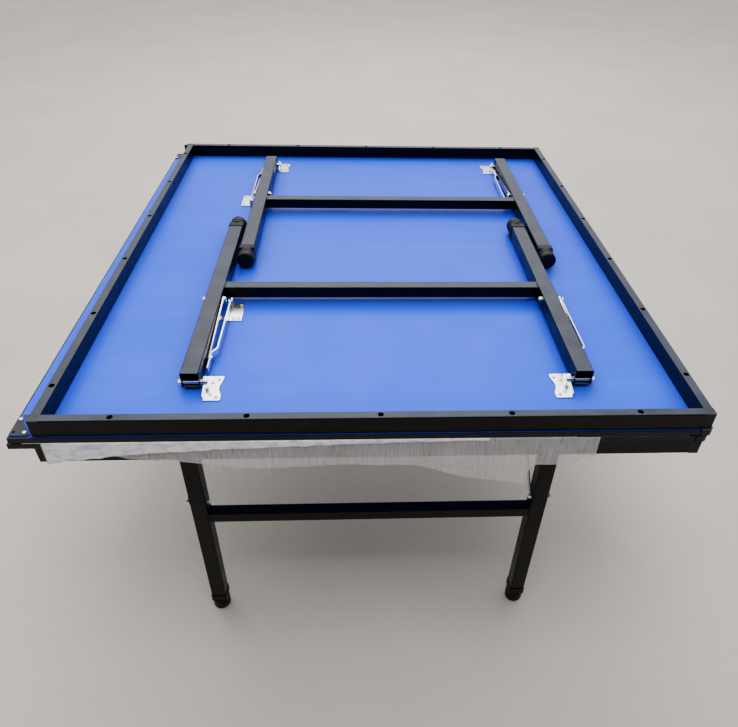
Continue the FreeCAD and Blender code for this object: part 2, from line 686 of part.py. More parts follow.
def board_strip():
    """Jogged strip from the anchor pin, at the origin, past the knee to its release tail."""
    body = doc.addObject("PartDesign::Body", "board_strip_bend")
    end = f"{board_strip_long + sheet.tail_long}"
    jog_end = f"{board_strip_long - sheet.jog_start}"
    jog_start = f"{board_strip_long - sheet.jog_start - sheet.jog_long}"
    heel = "-strip_wide / 2"
    corners = [
        (JOGGED_LAYER, heel),
        (f"{JOGGED_LAYER} + strip_thick", heel),
        (f"{JOGGED_LAYER} + strip_thick", f"{jog_start} + 1"),
        (f"{KNEE_LAYER} + strip_thick", f"{jog_end} + 1"),
        (f"{KNEE_LAYER} + strip_thick", end),
        (KNEE_LAYER, end),
        (KNEE_LAYER, f"{jog_end} - 1"),
        (JOGGED_LAYER, f"{jog_start} - 1"),
    ]
    sketch = outline(body, "board_strip_outline", "XY_Plane", corners)
    padded(body, "board_strip_pad", sketch, "strip_wide")
    body.Placement = Placement(Vector(0, 0, -sheet.strip_wide / 2), STILL)
    middle = board_strip_long / 2
    soft = rounded("board_strip_soft", body, X_AXIS, sheet.strip_wide / 2 - 0.2,
                   lambda place: abs(place.y - middle) > middle)
    rivet = rod("board_strip_rivet", "rivet_size", "rivet_tall",
                (f"{KNEE_LAYER} + strip_thick", board_strip_long, 0), X_AXIS)
    whole = fuse("board_strip_whole", [soft, rivet])
    bore = rod("board_strip_bore", "pin_size + 2 * bolt_fit", 10,
               (f"{JOGGED_LAYER} - 3", 0, 0), X_AXIS)
    return cut("board_strip_drawn", whole, bore)


LEG_STRIP = leg_strip()
BOARD_STRIP = board_strip()


# --------------------------------------------------------------------------------- leg frame
def leg():
    """One leg tube in its pivot's axes, drilled for its two bolts."""
    long = f"({TUBE_END} + pivot_end)"
    blank = tube("leg_tube_blank", Y_AXIS, long, "leg_tube", "leg_tube", "leg_wall",
                 sheet.leg_round)
    seat = Placement(Vector(-half_leg, -sheet.pivot_end, sheet.leg_rise - half_leg), STILL)
    laid = copy_at("leg_laid", blank, seat)
    drills = []
    for name, reach, rise in (("pivot", 0, 0), ("brace", "brace_reach", "brace_rise")):
        start = ("-leg_tube", reach, rise)
        drills.append(rod(f"leg_{name}_hole", "bolt_size", "2 * leg_tube", start, X_AXIS))
    return cut("leg_drawn", laid, group("leg_drills", drills))


def crossbar():
    """Square tube welded between the legs' inner faces."""
    long = "leg_span - 2 * leg_tube"
    blank = tube("bar_blank", X_AXIS, long, "bar_tube", "bar_tube", "bar_wall",
                 sheet.bar_round)
    low = sheet.leg_rise + half_leg - sheet.bar_drop - sheet.bar_tube
    seat = Placement(Vector(-(leg_offset - half_leg), bar_reach, low), STILL)
    return copy_at("bar_drawn", blank, seat)


def foot_cap():
    """Plastic cap on the leg's middle line: square sleeve, groove, band and round foot."""
    skin = "(leg_tube + 2 * foot_skin)"
    sleeve_blank = block("foot_sleeve_blank", (skin, "foot_sleeve + 5", skin),
                         (f"-{skin} / 2", f"{TUBE_END} - foot_sleeve", f"-{skin} / 2"))
    sleeve = rounded("foot_sleeve_soft", sleeve_blank, Y_AXIS,
                     sheet.leg_round + sheet.foot_skin)
    neck = rod("foot_neck", f"{FOOT_ROUND} - 8", "foot_reach - 5", (0, f"{TUBE_END} + 4", 0),
               Y_AXIS)
    band = rod("foot_band", FOOT_ROUND, 9, (0, f"{TUBE_END} + 8", 0), Y_AXIS)
    base_blank = rod("foot_base_blank", FOOT_ROUND, "foot_reach - 20",
                     (0, f"{TUBE_END} + 20", 0), Y_AXIS)
    base = domed("foot_base", base_blank, 6, Y_AXIS, leg_drop)
    whole = fuse("foot_whole", [sleeve, neck, band, base])
    hole = "(leg_tube + 2 * slide_fit)"
    socket_blank = block("foot_socket_blank", (hole, "foot_sleeve + 1", hole),
                         (f"-{hole} / 2", f"{TUBE_END} - foot_sleeve - 1", f"-{hole} / 2"))
    socket = rounded("foot_socket", socket_blank, Y_AXIS, sheet.leg_round + sheet.slide_fit)
    return cut("foot_drawn", whole, socket)


def bolt(name, grip):
    """Domed bolt along +x, the underside of its head at the origin, with its nut."""
    head_blank = rod(f"{name}_head_blank", "bolt_head", "bolt_dome", ("-bolt_dome", 0, 0),
                     X_AXIS)
    head = domed(f"{name}_head", head_blank, 3.5, X_AXIS, -sheet.bolt_dome)
    shank = rod(f"{name}_shank", "bolt_size", f"{grip} + nut_tall + 1.5", (0, 0, 0), X_AXIS)
    whole = fuse(f"{name}_whole", [head, shank])
    nut_blank = doc.addObject("Part::Prism", f"{name}_nut_blank")
    nut_blank.Polygon = 6
    bind(nut_blank, Circumradius="nut_corner", Height="nut_tall")
    nut_blank.Placement = Placement(Vector(), Rotation(Z_AXIS, X_AXIS))
    put(nut_blank, (grip, 0, 0))
    thread = rod(f"{name}_thread", "bolt_size", "nut_tall + 2", (f"{grip} - 1", 0, 0), X_AXIS)
    nut = cut(f"{name}_nut", nut_blank, thread)
    return group(f"{name}_drawn", [whole, nut])


LEG = leg()
CROSSBAR = crossbar()
FOOT_CAP = foot_cap()
bracket_outer = sheet.bracket_gap + sheet.bracket_thick
strip_outer = sheet.strip_clear + sheet.strip_thick
PIVOT_FASTENER = bolt("pivot_bolt", "leg_tube + side_gap + bracket_gap + bracket_thick")
BRACE_BOLT = bolt("brace_bolt", "leg_tube + strip_clear + strip_thick + side_gap")


def pivot_spacer():
    """Ring on the pivot bolt that keeps the leg off the bracket's ear."""
    start = "2 * side_gap + bracket_thick"
    ring = rod("spacer_ring", "bolt_size + 5", "bracket_gap - side_gap", (start, 0, 0), X_AXIS)
    thread = rod("spacer_bore", "bolt_size", "bracket_gap + 2", (f"{start} - 1", 0, 0), X_AXIS)
    return cut("pivot_spacer_drawn", ring, thread)


PIVOT_BOLT = group("pivot_bolt_and_spacer", [PIVOT_FASTENER, pivot_spacer()])


def frame_bolts(name):
    """Both pivot bolts and both brace bolts of one leg frame, in its own axes."""
    inner = leg_offset - half_leg
    pivot_head = inner - bracket_outer - sheet.side_gap
    brace_head = half_leg + strip_outer + sheet.side_gap
    turned = Rotation(Z_AXIS, 180)
    seats = [
        ("pivot_a", PIVOT_BOLT, Placement(Vector(-pivot_head, 0, 0), turned)),
        ("pivot_b", PIVOT_BOLT, Placement(Vector(pivot_head, 0, 0), STILL)),
    ]
    for side, middle in (("a", -leg_offset), ("b", leg_offset)):
        place = Vector(middle + brace_head, sheet.brace_reach, sheet.brace_rise)
        seats.append((f"brace_{side}", BRACE_BOLT, Placement(place, turned)))
    return group(name, [copy_at(f"{name}_{part}", drawn, seat) for part, drawn, seat in seats])


# ------------------------------------------------------------------------ putting it together
middle_x = (sheet.board_width + sheet.cap_guard - sheet.stack_shift) / 2
foam_front = sheet.foam_thick + sheet.soft_gap
middle_y = (sheet.board_depth + sheet.cap_guard - foam_front) / 2
ORIGIN = Placement(Vector(-middle_x, -middle_y, 0), STILL)
UPPER_HALF = ORIGIN * Placement(Vector(0, 0, sheet.play_height + sheet.stack_gap), STILL)
LOWER_HALF = ORIGIN * Placement(
    Vector(-sheet.stack_shift, sheet.board_depth, sheet.play_height), Rotation(X_AXIS, 180))
NODES = {}


def node(label, drawn, place):
    """A finished sub-part: a placed, labelled copy of its drawing."""
    piece = copy_at(f"node_{label}", drawn, place)
    piece.Label = label
    NODES[label] = piece


def seats_of(half):
    """The two leg frames' places in a half's own axes, by where their pivots are."""
    centre = getattr(sheet, f"{half}_leg_centre")
    near = Placement(Vector(centre, sheet.pivot_inset, pivot_level), STILL)
    far_place = Vector(centre + sheet.leg_tube + sheet.nest_gap,
                       sheet.board_depth - sheet.pivot_inset, pivot_level)
    far = Placement(far_place, Rotation(Z_AXIS, 180))
    if half == "upper":
        return {"front": near, "back": far}
    return {"front": far, "back": near}


def hardware_seats(seat):
    """One leg frame's brackets and anchors: what is drawn, its place and its screws."""
    inner = leg_offset - half_leg
    mirrored_screws = [(-x, y) for x, y in BRACKET_SCREWS]
    brackets = [(PIVOT_BRACKET, -inner, BRACKET_SCREWS),
                (PIVOT_BRACKET_TWIN, inner, mirrored_screws)]
    turned = seat.Rotation.Angle > 1
    far_hand = (OUTWARD_ANCHOR, OUTWARD_SCREWS) if turned else (INWARD_ANCHOR, INWARD_SCREWS)
    anchors = [(OUTWARD_ANCHOR, -leg_offset + half_leg, OUTWARD_SCREWS),
               (far_hand[0], leg_offset + half_leg, far_hand[1])]

    def placed(pieces):
        return [(drawn, seat * Placement(Vector(x, 0, 0), STILL), screws)
                for drawn, x, screws in pieces]

    return placed(brackets), placed(anchors)


def screw_seats(half, seats):
    """Every screw of a half, its head's underside at the surface that it holds down."""
    places = []
    for side in ("front", "back", "net", "end"):
        for x, y in RAIL_LINES[side]:
            places.append(Placement(Vector(x, y, board_back + sheet.rail_wall), STILL))
    for x, y in PLATE_SCREWS:
        places.append(Placement(Vector(plate_x + x, plate_near + y, plate_face), STILL))
        places.append(Placement(Vector(plate_x + x, plate_far - y, plate_face), STILL))
    foot_face = sheet.bracket_thick - sheet.pivot_lift
    for seat in seats.values():
        brackets, anchors = hardware_seats(seat)
        for drawn, place, screws in brackets + anchors:
            for x, y in screws:
                places.append(place * Placement(Vector(x, y, foot_face), STILL))
    return places


def build_half(half, place):
    """The fixed pieces of one half."""
    seats = seats_of(half)
    screws = screw_seats(half, seats)
    bore_x, bore_y = PLATE_BORE
    bores = []
    for side, y in (("near", plate_near + bore_y), ("far", plate_far - bore_y)):
        low = (plate_x + bore_x, y, "board_thick - 10")
        bores.append(rod(f"{half}_net_bore_{side}", "net_plate_bore", 12, low))
    node(f"{half}_board", board(half, screws, bores), place)
    node(f"{half}_edge_band", edge_band(half), place)
    for side in ("front", "back", "net", "end"):
        # The lower half is turned over about X, so its drawn front is its back.
        drawn_side = side
        if half == "lower" and side in ("front", "back"):
            drawn_side = "back" if side == "front" else "front"
        node(f"{half}_{side}_rail", rail(half, drawn_side), place)
    node(f"{half}_corner_caps", corner_caps(half), place)
    node(f"{half}_net_plates", net_plates(half), place)
    brackets, anchors = [], []
    for seat in seats.values():
        bracket_seats, anchor_seats = hardware_seats(seat)
        for drawn, at, _ in bracket_seats:
            brackets.append(copy_at(f"{half}_bracket_{len(brackets)}", drawn, at))
        for drawn, at, _ in anchor_seats:
            anchors.append(copy_at(f"{half}_anchor_{len(anchors)}", drawn, at))
    node(f"{half}_leg_brackets", group(f"{half}_brackets_drawn", brackets), place)
    node(f"{half}_brace_anchors", group(f"{half}_anchors_drawn", anchors), place)
    heads = [copy_at(f"{half}_screw_{i}", SCREW, at) for i, at in enumerate(screws)]
    node(f"{half}_screws", group(f"{half}_screws_drawn", heads), place)
    for end, seat in seats.items():
        build_leg_frame(f"{half}_{end}", place * seat, unfolded=half == "lower",
                        turned=seat.Rotation.Angle > 1)


def build_leg_frame(name, seat, unfolded, turned):
    """One leg frame and its two braces; a turned frame has its drawn sides swapped."""
    swing = Placement(Vector(), Rotation(X_AXIS, 90 if unfolded else 0))
    frame = seat * swing
    sides = (("left", -leg_offset), ("right", leg_offset))
    for side, middle in sides:
        real_side = side
        if turned:
            real_side = "right" if side == "left" else "left"
        leg_axis = Placement(Vector(middle, 0, 0), STILL)
        node(f"{name}_{real_side}_leg", LEG, frame * leg_axis)
        face = middle + half_leg
        leg_turn = leg_turn_open if unfolded else leg_turn_folded
        brace_bolt = Vector(face, sheet.brace_reach, sheet.brace_rise)
        strip_seat = Placement(brace_bolt, Rotation(X_AXIS, leg_turn))
        node(f"{name}_{real_side}_leg_strip", LEG_STRIP, frame * strip_seat)
        board_turn = board_turn_open if unfolded else board_turn_folded
        anchor = Vector(face, anchor_reach, sheet.anchor_lift - sheet.pivot_lift)
        strip_seat = Placement(anchor, Rotation(X_AXIS, board_turn))
        node(f"{name}_{real_side}_board_strip", BOARD_STRIP, seat * strip_seat)
    node(f"{name}_crossbar", CROSSBAR, frame)
    node(f"{name}_bolts", frame_bolts(f"{name}_bolts_drawn"), frame)
    feet = []
    for side, middle in sides:
        foot_axis = Placement(Vector(middle, 0, sheet.leg_rise), STILL)
        feet.append(copy_at(f"{name}_foot_{side}", FOOT_CAP, foot_axis))
    node(f"{name}_foot_caps", group(f"{name}_feet_drawn", feet), frame)


def foam_sheet():
    """Foam sheet between the boards, its front edge hanging over the lower board's edge."""
    low = "play_height + soft_gap"
    front = "-foam_thick - soft_gap"
    flat = block("foam_flat", ("foam_wide", "foam_long", "foam_thick"),
                 ("foam_near", 0, low))
    fold = block("foam_fold", ("flap_wide", "foam_thick + soft_gap + 1", "foam_thick"),
                 ("flap_near", front, low))
    drop = "foam_drop + soft_gap + foam_thick"
    flap = block("foam_flap", ("flap_wide", "foam_thick", drop),
                 ("flap_near", front, "play_height - foam_drop"))
    return fuse("foam_drawn", [flat, fold, flap])


build_half("lower", LOWER_HALF)
node("foam_sheet", foam_sheet(), ORIGIN)
build_half("upper", UPPER_HALF)
doc.recompute()

# ------------------------------------------------------------------------- checks and export
for thing in doc.Objects:
    if "Invalid" in thing.State or "Error" in thing.State:
        raise RuntimeError(f"{thing.Label} failed: {thing.State}")
for label, piece in NODES.items():
    if piece.Shape.isNull() or not piece.Shape.isValid() or not piece.Shape.Solids:
        raise RuntimeError(f"{label} has no valid solid")

os.makedirs("parts", exist_ok=True)
for label, piece in NODES.items():
    piece.Shape.exportStep(f"parts/{label}.step")
print(len(NODES), "nodes")
print("hinge axis", -middle_x - (sheet.stack_shift + sheet.net_gap) / 2,
      sheet.play_height + sheet.stack_gap / 2)
print("leg strip turns", leg_turn_folded, leg_turn_open, "board strip", board_turn_folded,
      board_turn_open, "lengths", leg_strip_long, board_strip_long)
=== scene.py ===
import math

import bpy
import numpy as np
from mathutils import Matrix, Vector


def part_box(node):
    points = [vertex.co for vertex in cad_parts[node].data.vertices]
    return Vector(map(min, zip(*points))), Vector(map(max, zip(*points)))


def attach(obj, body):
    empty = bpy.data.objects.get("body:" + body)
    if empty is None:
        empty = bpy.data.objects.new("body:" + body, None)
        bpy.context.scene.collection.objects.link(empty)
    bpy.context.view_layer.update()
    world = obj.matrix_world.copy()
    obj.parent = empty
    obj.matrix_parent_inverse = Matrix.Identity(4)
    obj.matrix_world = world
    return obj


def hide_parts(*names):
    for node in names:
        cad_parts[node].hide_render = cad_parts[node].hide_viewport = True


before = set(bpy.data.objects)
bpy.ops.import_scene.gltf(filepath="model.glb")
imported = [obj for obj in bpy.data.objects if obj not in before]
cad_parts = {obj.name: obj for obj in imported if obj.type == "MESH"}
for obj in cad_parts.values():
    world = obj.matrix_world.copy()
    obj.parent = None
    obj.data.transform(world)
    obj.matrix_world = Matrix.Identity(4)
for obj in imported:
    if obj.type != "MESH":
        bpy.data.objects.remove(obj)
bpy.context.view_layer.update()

# ---------------------------------------------------------------------------- boards
# Each half's playing surface is one pressed-wood panel, 12 mm thick, rolled with blue
# paint on both faces. The underside shows the roller's faint bands and some smudges.
# Rail, bracket and anchor screws are driven straight into it.


def linear(code):
    """An sRGB hex colour as a linear RGBA tuple."""
    values = [int(code[i:i + 2], 16) / 255 for i in (0, 2, 4)]
    return tuple(v / 12.92 if v <= 0.04045 else ((v + 0.055) / 1.055) ** 2.4
                 for v in values) + (1.0,)


def add_node(tree, kind, sockets=None, **properties):
    """A shader node with its properties set and its sockets given values or links."""
    made = tree.nodes.new("ShaderNode" + kind)
    for name, value in properties.items():
        setattr(made, name, value)
    for name, value in (sockets or {}).items():
        if isinstance(value, bpy.types.NodeSocket):
            tree.links.new(value, made.inputs[name])
        else:
            made.inputs[name].default_value = value
    return made


def new_material(name):
    """An empty material: itself, its tree, its surface and its place in metres."""
    material = bpy.data.materials.new(name)
    material.use_nodes = True
    tree = material.node_tree
    surface = tree.nodes["Principled BSDF"]
    place = add_node(tree, "TexCoord").outputs["Object"]
    return material, tree, surface, place


def noise(tree, place, size, detail=3.0, stretch=(1, 1, 1)):
    """Smooth noise from 0 to 1 whose blotches are about size metres across."""
    scaled = add_node(tree, "Mapping", {"Vector": place, "Scale": stretch})
    field = add_node(tree, "TexNoise", {"Vector": scaled.outputs["Vector"],
                                        "Scale": 1 / size, "Detail": detail})
    return field.outputs["Fac"]


def spread(tree, value, low, high, start=0.3, end=0.7):
    """A noise value between start and end carried onto low to high."""
    ramp = add_node(tree, "MapRange", {"Value": value, "From Min": start, "From Max": end,
                                       "To Min": low, "To Max": high})
    return ramp.outputs["Result"]


def blend(tree, share, first, second):
    """A colour that goes from first to second as share goes from 0 to 1."""
    mixed = add_node(tree, "Mix", {0: share, 6: first, 7: second}, data_type="RGBA")
    return mixed.outputs[2]


def bump(tree, surface, height, depth):
    """Relief of a depth in metres on a surface."""
    relief = add_node(tree, "Bump", {"Height": height, "Distance": depth, "Strength": 1.0})
    tree.links.new(relief.outputs["Normal"], surface.inputs["Normal"])


def set_inputs(tree, surface, **values):
    """Sets a surface's sockets, named with underscores, to values or links."""
    for name, value in values.items():
        socket = surface.inputs[name.replace("_", " ")]
        if isinstance(value, bpy.types.NodeSocket):
            tree.links.new(value, socket)
        else:
            socket.default_value = value


def math_node(tree, operation, *values):
    """The result of one arithmetic node."""
    return add_node(tree, "Math", dict(enumerate(values)), operation=operation).outputs[0]


def levelness(tree):
    """1 on faces that look straight up or down, 0 on upright ones."""
    normal = add_node(tree, "TexCoord").outputs["Normal"]
    rise = add_node(tree, "SeparateXYZ", {"Vector": normal}).outputs["Z"]
    return math_node(tree, "ABSOLUTE", rise)


def openness(tree, reach, closed, clear):
    """0 in corners, 1 on open faces, by how much stands within reach metres; a mask for
    painted shade.
    """
    corner = add_node(tree, "AmbientOcclusion", {"Distance": reach}).outputs["AO"]
    return spread(tree, corner, 0, 1, closed, clear)


def dusted_and_sheened(tree, place, colour, dust_and_sheen_code):
    """A colour under patchy dust and a painted sky sheen on whatever faces straight up or
    down.
    """
    # level faces blend to a blue-grey: real dust plus a painted sky sheen
    level = spread(tree, levelness(tree), 0, 1, 0.75, 0.95)
    amount = spread(tree, noise(tree, place, 0.06, 4.0), 0.55, 1.0)
    dust = math_node(tree, "MULTIPLY", level, amount)
    return blend(tree, dust, colour, linear(dust_and_sheen_code))


def wear(node, material):
    """Gives a CAD node one material in all its slots."""
    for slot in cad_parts[node].material_slots:
        slot.material = material


def blue_paint():
    """Blue roller paint on pressed wood, with roller bands, smudges and dust.

    The paint turns near black in the last 5 mm before the front and back edges, painted
    shade deepens it in corners, and the drilled holes show wood. Light that bounces off the
    board is toned down to grey, so that it doesn't stain the floor and the rails blue.
    """
    rim_start, rim_full = 0.4966, 0.4970  # shares of the board's depth from its middle
    corner_reach = 0.09
    material, tree, surface, place = new_material("blue_paint")
    bands = noise(tree, place, 0.05, 2.0, (0.04, 1, 1))
    clouds = noise(tree, place, 0.35, 4.0)
    grain = noise(tree, place, 0.0012, 2.0)
    paint = blend(tree, spread(tree, clouds, 0, 1), linear("0C50FA"), linear("145AFF"))
    paint = blend(tree, spread(tree, bands, 0, 0.35), paint, linear("0A46EC"))
    specks = noise(tree, place, 0.004, 1.0)
    dusty = spread(tree, specks, 0, 0.35, 0.72, 0.78)
    colour = blend(tree, dusty, paint, linear("6F92E8"))
    painted = spread(tree, levelness(tree), 0, 1, 0.4, 0.8)
    colour = blend(tree, painted, linear("3A2C20"), colour)
    share = add_node(tree, "TexCoord").outputs["Generated"]
    across = add_node(tree, "SeparateXYZ", {"Vector": share}).outputs["Y"]
    from_middle = math_node(tree, "ABSOLUTE", math_node(tree, "SUBTRACT", across, 0.5))
    # the paint turns near black in the last 5 mm before the front and back edges
    rim = spread(tree, from_middle, 0, 1, rim_start, rim_full)
    colour = blend(tree, rim, colour, linear("0C0F22"))
    # painted shade: the blue goes deeper and darker in corners next to rails and legs
    lit = openness(tree, corner_reach, 0.35, 0.95)
    colour = blend(tree, lit, linear("1B2FC4"), colour)
    bounced = add_node(tree, "LightPath").outputs["Is Diffuse Ray"]
    colour = blend(tree, bounced, colour, linear("454A58"))
    smudges = spread(tree, noise(tree, place, 0.12, 5.0), 0.30, 0.42)
    set_inputs(tree, surface, Base_Color=colour, Roughness=smudges, IOR=1.5,
               Specular_IOR_Level=0.1)
    bump(tree, surface, grain, 0.00003)
    return material


for half in ("lower", "upper"):
    wear(f"{half}_board", blue_paint())

# ------------------------------------------------------------------------- edge bands
# A black plastic strip is wrapped round each board's edge and glued; its two end corners
# are bent to a 12 mm radius. It is extruded, with a satin face.


def moulded_plastic(name, code, rough_low, rough_high, dust_and_sheen_code=None):
    """Black plastic with a fine spark-eroded or extruded texture, plain or with dust and
    painted sheen.
    """
    material, tree, surface, place = new_material(name)
    spark = noise(tree, place, 0.0009, 3.0)
    flow = noise(tree, place, 0.03, 2.0)
    colour = blend(tree, spread(tree, flow, 0, 1), linear(code), linear("151619"))
    if dust_and_sheen_code:
        colour = dusted_and_sheened(tree, place, colour, dust_and_sheen_code)
    set_inputs(tree, surface, Base_Color=colour, IOR=1.49, Specular_IOR_Level=0.14,
               Roughness=spread(tree, flow, rough_low, rough_high))
    bump(tree, surface, spark, 0.00008)
    return material


for half in ("lower", "upper"):
    wear(f"{half}_edge_band", moulded_plastic("band_plastic", "08080A", 0.35, 0.45))

# ------------------------------------------------------------------------ frame rails
# Four 20 x 40 mm steel tubes stand round each board, screwed to it through 12 mm driver
# holes in their outer walls. Powder coated black, their tops carry dust and painted sheen.


def powder_coat(name, code, dust_and_sheen_code):
    """Black powder coat: fine orange peel, and dust with a painted sky sheen on what faces
    up or down.
    """
    material, tree, surface, place = new_material(name)
    peel = noise(tree, place, 0.0016, 2.0)
    patches = noise(tree, place, 0.06, 4.0)
    colour = dusted_and_sheened(tree, place, linear(code), dust_and_sheen_code)
    scuffs = noise(tree, place, 0.01, 3.0, (0.1, 0.1, 1))
    colour = blend(tree, spread(tree, scuffs, 0, 0.2, 0.68, 0.75), colour, linear("3A3C42"))
    rough = spread(tree, patches, 0.30, 0.42)
    set_inputs(tree, surface, Base_Color=colour, Roughness=rough, IOR=1.45,
               Specular_IOR_Level=0.14)
    bump(tree, surface, peel, 0.00006)
    return material


RAIL_COAT = powder_coat("rail_coat", "050506", "444955")
for half in ("lower", "upper"):
    for side in ("front", "back", "net", "end"):
        wear(f"{half}_{side}_rail", RAIL_COAT)

# ------------------------------------------------------------------------ corner caps
# Moulded black caps plug into the rails' ends and close each corner of the frame; at the
# end edge a lip wraps the board's rounded corner. The mould left a fine spark texture,
# and their tops carry the same dust and painted sky sheen as the rails.

CAP_PLASTIC = moulded_plastic("cap_plastic", "08080A", 0.38, 0.5, "3E424D")
for half in ("lower", "upper"):
    wear(f"{half}_corner_caps", CAP_PLASTIC)

# ------------------------------------------------------------------------- net plates
# Triangular 2.5 mm steel plates screwed at both ends of the net edge, where a net clamp is
# fixed. Laser cut, powder coated.
PLATE_COAT = powder_coat("plate_coat", "0C0D10", "33353C")
for half in ("lower", "upper"):
    wear(f"{half}_net_plates", PLATE_COAT)

# -------------------------------------------- brackets, anchors, screws, bolts, braces
# The leg hardware is stamped steel with bright zinc plate: brackets and anchors from
# 2.5 mm sheet, brace strips from flat bar, domed bolts, pan-head screws. Painted shade
# darkens the zinc in corners and the bolts' shanks inside the legs' open ends.


def zinc_plate(name, rough, reach=0.012):
    """Bright zinc plate: faint tints, drawn lines, small stains, and painted shade in
    corners.

    reach is how near, in metres, another face has to stand to make a corner.
    """
    material, tree, surface, place = new_material(name)
    tint = noise(tree, place, 0.02, 3.0)
    lines = noise(tree, place, 0.0008, 2.0, (1, 0.08, 1))
    stains = noise(tree, place, 0.006, 5.0)
    colour = blend(tree, spread(tree, tint, 0, 1), linear("F8FBFF"), linear("FBF9F2"))
    colour = blend(tree, spread(tree, stains, 0, 0.5, 0.62, 0.75), colour, linear("8D9196"))
    # painted shade: the zinc turns dark grey in corners and recesses
    unshaded = openness(tree, reach, 0.1, 0.6)
    colour = blend(tree, unshaded, linear("26272B"), colour)
    set_inputs(tree, surface, Base_Color=colour, Metallic=1.0,
               Roughness=spread(tree, lines, rough - 0.06, rough + 0.08))
    bump(tree, surface, lines, 0.00002)
    return material


STAMPED_ZINC = zinc_plate("stamped_zinc", 0.26)
SCREW_ZINC = zinc_plate("screw_zinc", 0.22, 0.004)
BOLT_ZINC = zinc_plate("bolt_zinc", 0.22, 0.03)
STRIP_ZINC = zinc_plate("strip_zinc", 0.17)
for half in ("lower", "upper"):
    wear(f"{half}_leg_brackets", STAMPED_ZINC)
    wear(f"{half}_brace_anchors", STAMPED_ZINC)
    wear(f"{half}_screws", SCREW_ZINC)
    for end in ("front", "back"):
        wear(f"{half}_{end}_bolts", BOLT_ZINC)
        for side in ("left", "right"):
            wear(f"{half}_{end}_{side}_leg_strip", STRIP_ZINC)
            wear(f"{half}_{end}_{side}_board_strip", STRIP_ZINC)

# --------------------------------------------------------------- legs and crossbars
# Each leg frame is two 38 mm square tubes and a 30 mm crossbar, welded into an H and
# powder coated in one piece. The upper frames lie open to the sky and carry dust and painted
# sheen; the lower ones, in shade under the boards, keep a near-black copy as painted shade.
# painted shade: the lower frames' copy stays near black, the upper one gets dust and painted
# sheen
LEG_COATS = {"lower": powder_coat("shaded_leg_coat", "040405", "0B0B0D"),
             "upper": powder_coat("dusty_sheened_leg_coat", "040405", "464A55")}
for half, coat in LEG_COATS.items():
    for end in ("front", "back"):
        for part in ("left_leg", "right_leg", "crossbar"):
            wear(f"{half}_{end}_{part}", coat)

# -------------------------------------------------------------------------- weld beads
# A fillet weld runs round each end of every crossbar, laid as overlapping ripples before
# the frame is coated.


def mesh_object(name, points, faces, material, body):
    """A smooth mesh in the row frame that rides on a CAD body."""
    mesh = bpy.data.meshes.new(name)
    mesh.from_pydata([tuple(p) for p in points], [], [tuple(f) for f in faces])
    mesh.polygons.foreach_set("use_smooth", [True] * len(mesh.polygons))
    mesh.update()
    made = bpy.data.objects.new(name, mesh)
    bpy.context.scene.collection.objects.link(made)
    mesh.materials.append(material)
    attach(made, body)
    return made


def grid_faces(rows, columns, wrap_rows=False, wrap_columns=False):
    """Quads between neighbouring points of a rows x columns grid."""
    faces = []
    for i in range(rows if wrap_rows else rows - 1):
        for j in range(columns if wrap_columns else columns - 1):
            a, b = i * columns, ((i + 1) % rows) * columns
            k = (j + 1) % columns
            faces.append((a + j, a + k, b + k, b + j))
    return faces


BEAD_STEPS, BEAD_SIDES = 336, 10


def bead_ring(x, inward, low, high):
    """Points of a weld bead round a square tube that meets a wall at x.

    The bead follows the tube's outline: (y, z) = centre + (half + out) * (c, s) / m with
    m = (|c|^8 + |s|^8)^(1/8), a rounded square. Its section is a round of radius
    r = 2.1 mm + 0.35 mm * |sin(42 t)|, so it shows 84 ripples.
    """
    turn = np.linspace(0, 2 * math.pi, BEAD_STEPS, endpoint=False)
    sweep = np.linspace(0, 2 * math.pi, BEAD_SIDES, endpoint=False)
    c, s = np.cos(turn)[:, None], np.sin(turn)[:, None]
    m = (np.abs(c) ** 8 + np.abs(s) ** 8) ** 0.125
    radius = 0.0021 + 0.00035 * np.abs(np.sin(42 * turn))[:, None]
    out = radius * np.cos(sweep)[None, :] * 0.8
    along = x + inward * (0.0004 + radius * np.sin(sweep)[None, :])
    middle, half = (low + high) / 2, (high - low) / 2
    y = middle[1] + (half[1] + out) * c / m
    z = middle[2] + (half[2] + out) * s / m
    return np.stack([along + 0 * y, y, z], axis=-1).reshape(-1, 3)


for half in ("lower", "upper"):
    for end in ("front", "back"):
        low, high = [np.array(corner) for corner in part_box(f"{half}_{end}_crossbar")]
        rings = [bead_ring(low[0], 1, low, high), bead_ring(high[0], -1, low, high)]
        first = grid_faces(BEAD_STEPS, BEAD_SIDES, True, True)
        second = [tuple(k + len(rings[0]) for k in reversed(face)) for face in first]
        bead = mesh_object(f"{half}_{end}_weld_beads", np.concatenate(rings),
                           first + second, LEG_COATS[half], f"{half}_{end}_legs")

# --------------------------------------------------------------------------- foot caps
# Moulded black feet are pressed over the legs' ends: a square sleeve, a groove, a band and
# a round foot.
FOOT_PLASTIC = moulded_plastic("foot_plastic", "09090B", 0.42, 0.55)
for half in ("lower", "upper"):
    for end in ("front", "back"):
        wear(f"{half}_{end}_foot_caps", FOOT_PLASTIC)

# ------------------------------------------------------------- film and foam interleaf
# Two loose sheets keep the playing faces apart: a thin polyethylene film whose front edge
# hangs down past the lower rail, and a white foam sheet folded back over it that is deep at
# the net side and runs out to nothing. Both were torn off a roll by hand.
low_band, high_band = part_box("lower_edge_band")
FACE = high_band[2]
FRONT = low_band[1]
NET = low_band[0]

